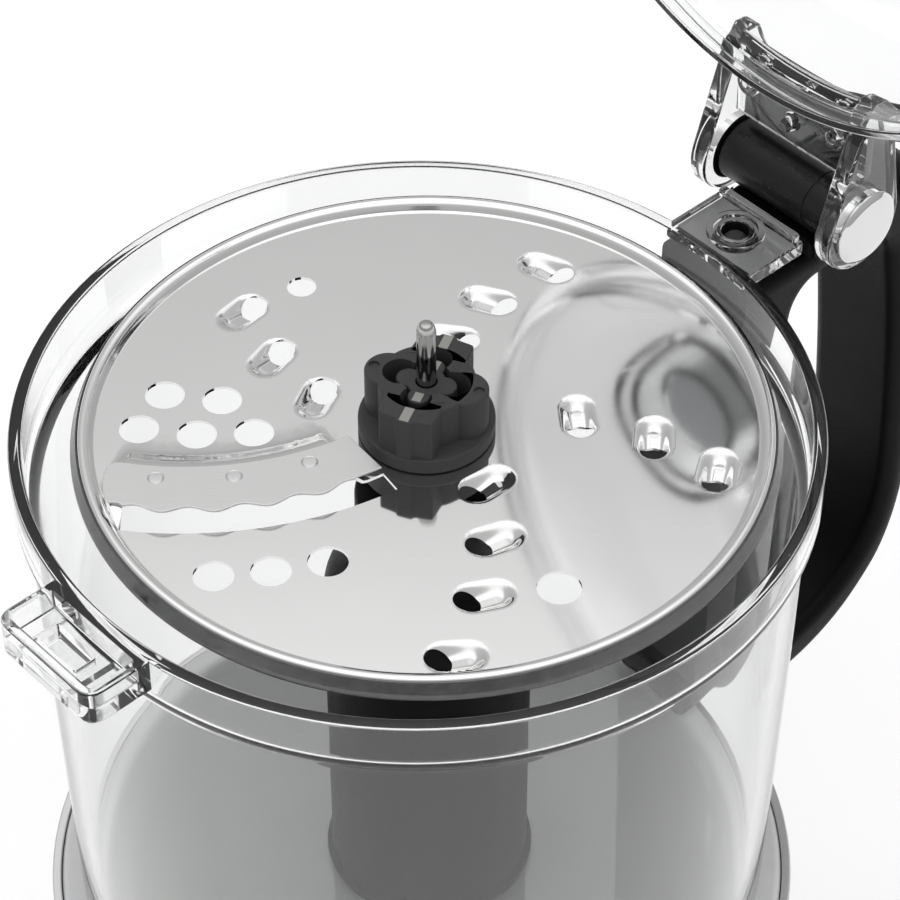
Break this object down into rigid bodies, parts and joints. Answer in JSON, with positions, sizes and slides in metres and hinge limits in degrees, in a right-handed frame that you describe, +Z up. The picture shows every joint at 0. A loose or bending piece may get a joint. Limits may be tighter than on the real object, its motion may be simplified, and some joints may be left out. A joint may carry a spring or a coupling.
{
  "type": "food processor",
  "caption": "Food processor with a motor base, a clear bowl, a hinged clear lid shown open, and a reversible slicing and shredding disc.",
  "frame": {"origin": "on the surface it stands on, below the middle of the whole object's box with the lid open", "axes": "+Z up, -Y towards the front with the push buttons, +X to the user's right; the handle and the lid hinge stand 42.5 degrees from +X towards +Y"},
  "size_m": [0.2559, 0.297, 0.502],
  "materials": {
    "clear_plastic": "clear, glossy moulded plastic",
    "black_plastic": "satin black moulded plastic",
    "body_plastic": "gloss white moulded plastic",
    "polished_steel": "mirror-polished stainless sheet",
    "chrome": "bright plated",
    "brushed_steel": "fine brushed",
    "rubber": "matt black rubber",
    "grey_plastic": "satin grey moulded plastic",
    "motor_steel": "plain steel",
    "circuit_board": "green lacquer"
  },
  "bodies": {
    "base": {"base_housing": "body_plastic", "base_plate": "grey_plastic", "base_screw_1": "brushed_steel", "base_screw_2": "brushed_steel", "base_screw_3": "brushed_steel", "base_screw_4": "brushed_steel", "foot_1": "rubber", "foot_2": "rubber", "foot_3": "rubber", "foot_4": "rubber", "trim_ring": "brushed_steel", "control_bezel": "black_plastic", "control_board": "circuit_board", "motor_plate": "motor_steel", "motor_can": "motor_steel", "drive_belt": "rubber", "lower_bearing": "brushed_steel", "upper_bearing": "brushed_steel", "cord_inlet": "black_plastic"},
    "key_off": {"button_off": "brushed_steel"},
    "key_pulse": {"button_pulse": "brushed_steel"},
    "key_low": {"button_low": "brushed_steel"},
    "key_high": {"button_high": "brushed_steel"},
    "rotor": {"motor_rotor": "motor_steel", "cooling_fan": "grey_plastic", "motor_pulley": "brushed_steel"},
    "drive": {"drive_shaft": "brushed_steel", "drive_pulley": "grey_plastic"},
    "bowl_unit": {"bowl": "clear_plastic", "bowl_handle": "black_plastic", "hinge_barrel": "black_plastic", "hinge_pin": "chrome", "hinge_cap_left": "chrome", "hinge_cap_right": "chrome", "interlock_spring": "brushed_steel"},
    "plunger": {"interlock_plunger": "black_plastic"},
    "adapter": {"drive_adapter": "black_plastic", "adapter_pin": "brushed_steel"},
    "disc": {"disc_plate": "polished_steel", "disc_hub": "black_plastic", "slicing_blade": "brushed_steel"},
    "lid_unit": {"lid": "clear_plastic", "lid_hinge_cover": "black_plastic", "lid_latch_pin": "chrome"},
    "latch": {"lid_latch": "grey_plastic"},
    "large_pusher": {"food_pusher": "clear_plastic"},
    "inner_pusher": {"small_pusher": "grey_plastic"}
  },
  "joints": [
    {"name": "press_off", "type": "slide", "parent": "base", "child": "key_off", "axis": [0, 1, 0], "range_m": [0, 0.002], "stiffness_N_per_m": 400, "springref_m": -0.001},
    {"name": "press_pulse", "type": "slide", "parent": "base", "child": "key_pulse", "axis": [0, 1, 0], "range_m": [0, 0.002], "stiffness_N_per_m": 400, "springref_m": -0.001},
    {"name": "press_low", "type": "slide", "parent": "base", "child": "key_low", "axis": [0, 1, 0], "range_m": [0, 0.002], "stiffness_N_per_m": 400, "springref_m": -0.001},
    {"name": "press_high", "type": "slide", "parent": "base", "child": "key_high", "axis": [0, 1, 0], "range_m": [0, 0.002], "stiffness_N_per_m": 400, "springref_m": -0.001},
    {"name": "drive_spin", "type": "hinge", "parent": "base", "child": "drive", "pos_m": [-0.025, -0.0433, 0.02], "axis": [0, 0, 1], "continuous": true},
    {"name": "rotor_spin", "type": "hinge", "parent": "base", "child": "rotor", "pos_m": [-0.025, 0.0087, 0.02], "axis": [0, 0, 1], "continuous": true},
    {"name": "bowl_lift", "type": "slide", "parent": "base", "child": "bowl_unit", "axis": [0, 0, 1], "range_m": [0, 0.1]},
    {"name": "adapter_spin", "type": "hinge", "parent": "bowl_unit", "child": "adapter", "pos_m": [-0.025, -0.0433, 0.262], "axis": [0, 0, 1], "continuous": true},
    {"name": "disc_lift", "type": "slide", "parent": "adapter", "child": "disc", "axis": [0, 0, 1], "range_m": [0, 0.05]},
    {"name": "lid_swing", "type": "hinge", "parent": "bowl_unit", "child": "lid_unit", "pos_m": [0.06147, 0.03657, 0.267], "axis": [-0.6756, 0.7373, 0], "range_deg": [-90, 0]},
    {"name": "latch_release", "type": "hinge", "parent": "lid_unit", "child": "latch", "pos_m": [0.06383, 0.03873, 0.484], "axis": [-0.6756, 0.7373, 0], "range_deg": [0, 12], "stiffness_Nm_per_rad": 0.3, "springref_deg": -5.73},
    {"name": "interlock_press", "type": "slide", "parent": "bowl_unit", "child": "plunger", "axis": [0, 0, -1], "range_m": [0, 0.003], "stiffness_N_per_m": 500, "springref_m": -0.002, "deforming": ["interlock_spring"]},
    {"name": "pusher_slide", "type": "slide", "parent": "lid_unit", "child": "large_pusher", "axis": [0.7373, 0.6756, 0], "range_m": [0, 0.085]},
    {"name": "inner_pusher_slide", "type": "slide", "parent": "large_pusher", "child": "inner_pusher", "axis": [0.7373, 0.6756, 0], "range_m": [0, 0.08]}
  ],
  "couplings": [
    {"joint": "rotor_spin", "follows": "drive_spin", "ratio": 4.5},
    {"joint": "adapter_spin", "follows": "drive_spin", "ratio": 1}
  ]
}
